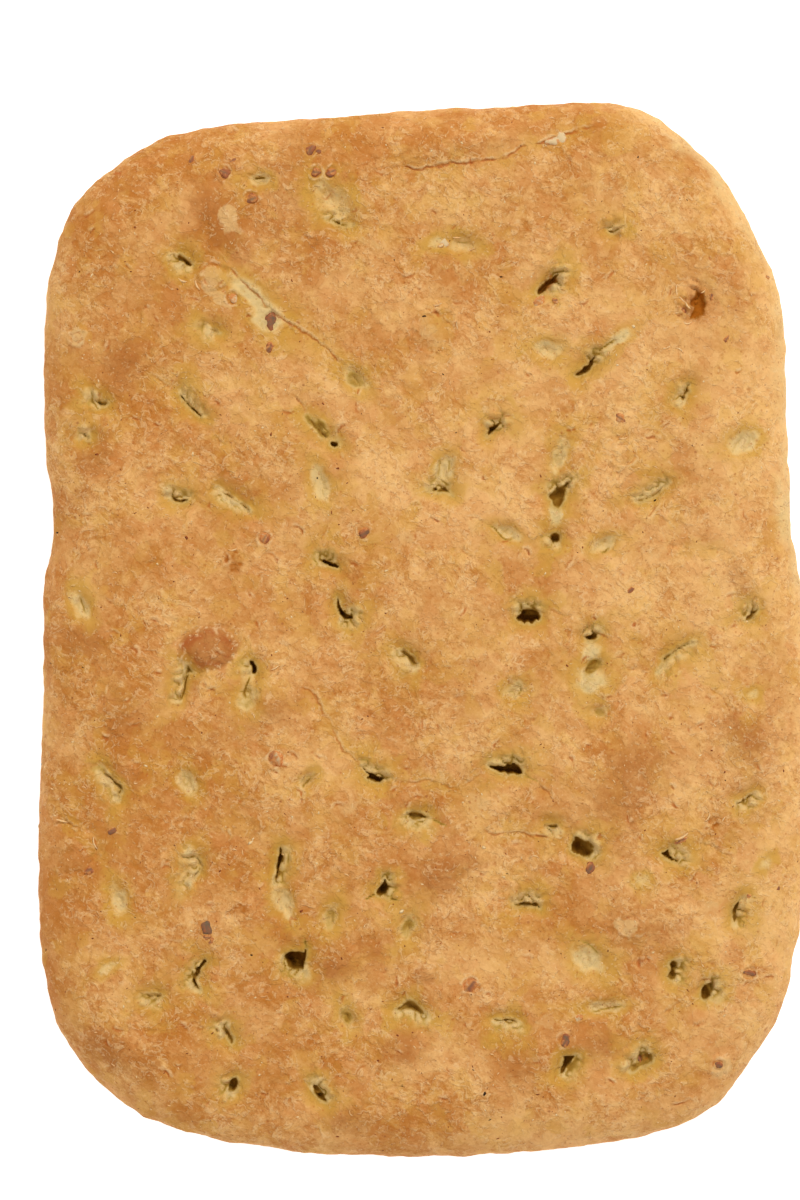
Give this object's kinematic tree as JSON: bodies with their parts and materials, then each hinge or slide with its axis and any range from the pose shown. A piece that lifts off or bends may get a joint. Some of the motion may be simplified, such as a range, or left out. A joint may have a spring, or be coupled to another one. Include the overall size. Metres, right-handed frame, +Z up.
{
  "type": "multigrain schiacciata",
  "caption": "Flat rectangular multigrain flatbread with soft corners, a browned docked crust, folds, blisters and whole grains.",
  "frame": {"origin": "middle of the outline's box, on the flat base", "axes": "+Y along the loaf's long side, +X along its short side, +Z up out of the crust"},
  "size_m": [0.208, 0.2841, 0.0241],
  "materials": {
    "crust": "dry baked crust, matte"
  },
  "bodies": {
    "root": {"schiacciata": "crust"}
  },
  "joints": []
}
